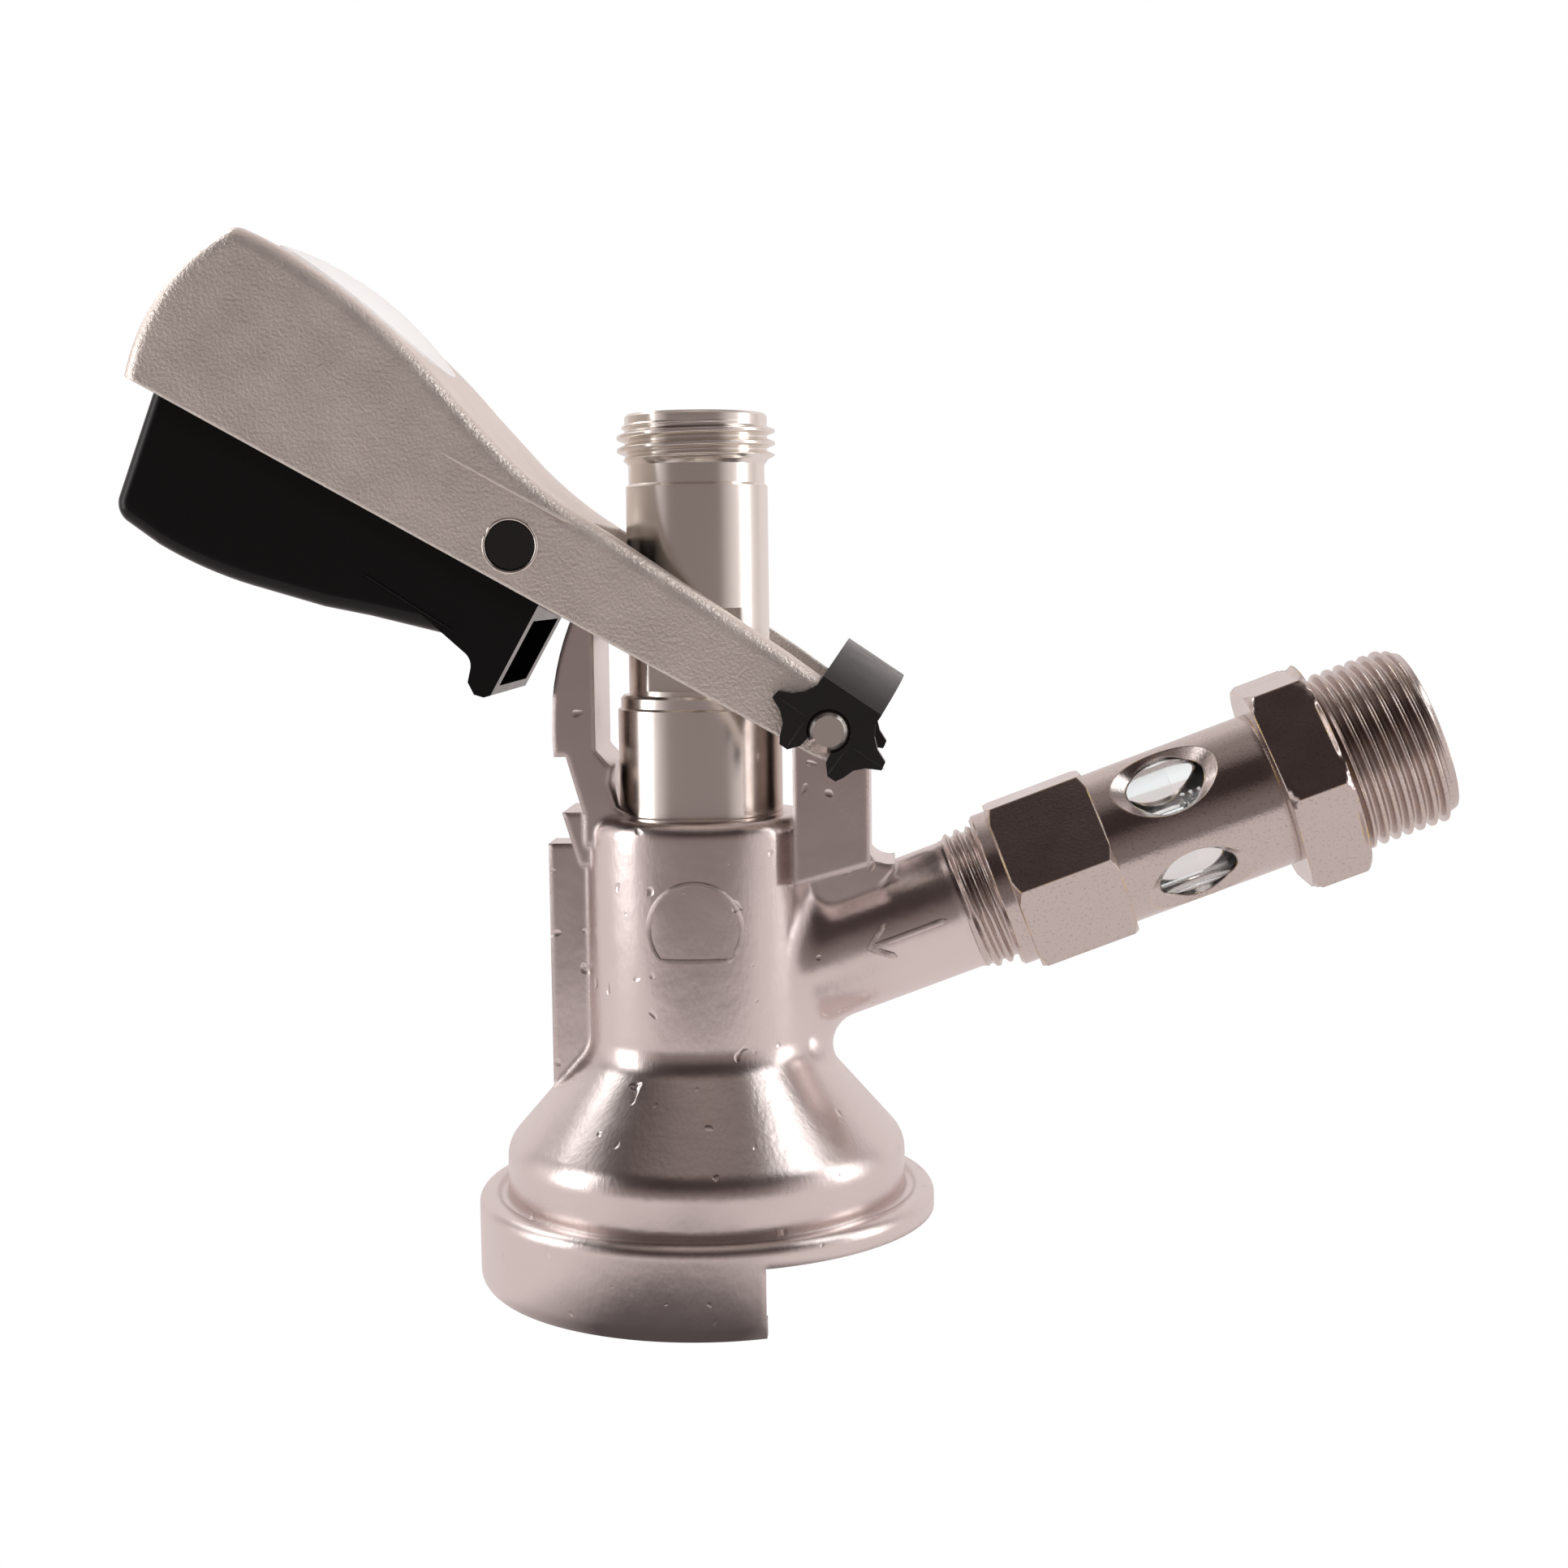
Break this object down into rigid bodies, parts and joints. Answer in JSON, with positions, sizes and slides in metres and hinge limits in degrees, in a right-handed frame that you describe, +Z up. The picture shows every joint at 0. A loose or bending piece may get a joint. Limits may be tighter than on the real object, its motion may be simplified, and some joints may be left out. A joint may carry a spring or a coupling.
{
  "type": "keg coupler",
  "caption": "Lever keg coupler with a horseshoe foot, sliding probe, raised cast lever with squeeze grip and a slanted gas inlet with a sight-glass check valve.",
  "frame": {"origin": "on the probe's axis, in the plane of the foot's underside", "axes": "+Z up along the probe, +X towards the gas branch, the lever's palm towards -X"},
  "size_m": [0.1895, 0.0674, 0.152],
  "materials": {
    "cast_plate": "satin nickel plating over cast brass",
    "turned_steel": "bright turned stainless steel",
    "cast_steel": "sand-cast stainless steel, tumbled",
    "plated_bar": "nickel plating over turned brass, worn at the edges",
    "black_grip": "black moulded plastic, satin gloss",
    "black_clip": "black moulded plastic",
    "black_rubber": "moulded rubber",
    "grey_rubber": "moulded food-grade rubber",
    "clear_plastic": "clear moulded plastic",
    "spring_wire": "drawn spring wire",
    "white_plastic": "white moulded plastic",
    "fibre": "fibre sealing washer"
  },
  "bodies": {
    "housing": {"coupler_body": "cast_plate", "body_seal": "black_rubber", "valve_housing": "plated_bar", "sight_tube": "clear_plastic", "tube_seal_inner": "black_rubber", "tube_seal_outer": "black_rubber", "valve_guide": "clear_plastic", "poppet_spring": "spring_wire", "hose_connector": "plated_bar", "inlet_washer": "fibre", "gas_lip_valve": "grey_rubber"},
    "lever": {"lever": "cast_steel", "hinge_pin": "turned_steel", "pin_clip": "black_clip", "grip_pin": "black_clip", "grip_spring": "spring_wire"},
    "grip": {"grip": "black_grip", "latch_plate": "turned_steel"},
    "probe": {"probe": "turned_steel", "probe_seal": "black_rubber", "probe_ring_lower": "black_rubber", "probe_ring_upper": "black_rubber", "check_ball": "turned_steel", "ball_retainer": "white_plastic"},
    "poppet": {"check_poppet": "white_plastic", "poppet_seal": "black_rubber"}
  },
  "joints": [
    {"name": "lever_swing", "type": "hinge", "parent": "housing", "child": "lever", "pos_m": [0.0194, 0, 0.0821], "axis": [0, -1, 0], "range_deg": [0, 33]},
    {"name": "probe_slide", "type": "slide", "parent": "housing", "child": "probe", "axis": [0, 0, -1], "range_m": [0, 0.01235]},
    {"name": "grip_squeeze", "type": "hinge", "parent": "lever", "child": "grip", "pos_m": [-0.02437, 0, 0.10791], "axis": [0, 1, 0], "range_deg": [0, 8], "stiffness_Nm_per_rad": 0.3, "springref_deg": -17.19},
    {"name": "poppet_lift", "type": "slide", "parent": "housing", "child": "poppet", "axis": [-0.9369, 0, -0.3496], "range_m": [0, 0.0022], "stiffness_N_per_m": 150, "springref_m": -0.004, "deforming": ["poppet_spring"]}
  ],
  "couplings": [
    {"joint": "probe_slide", "follows": "lever_swing", "m_per_rad": 0.02144}
  ]
}
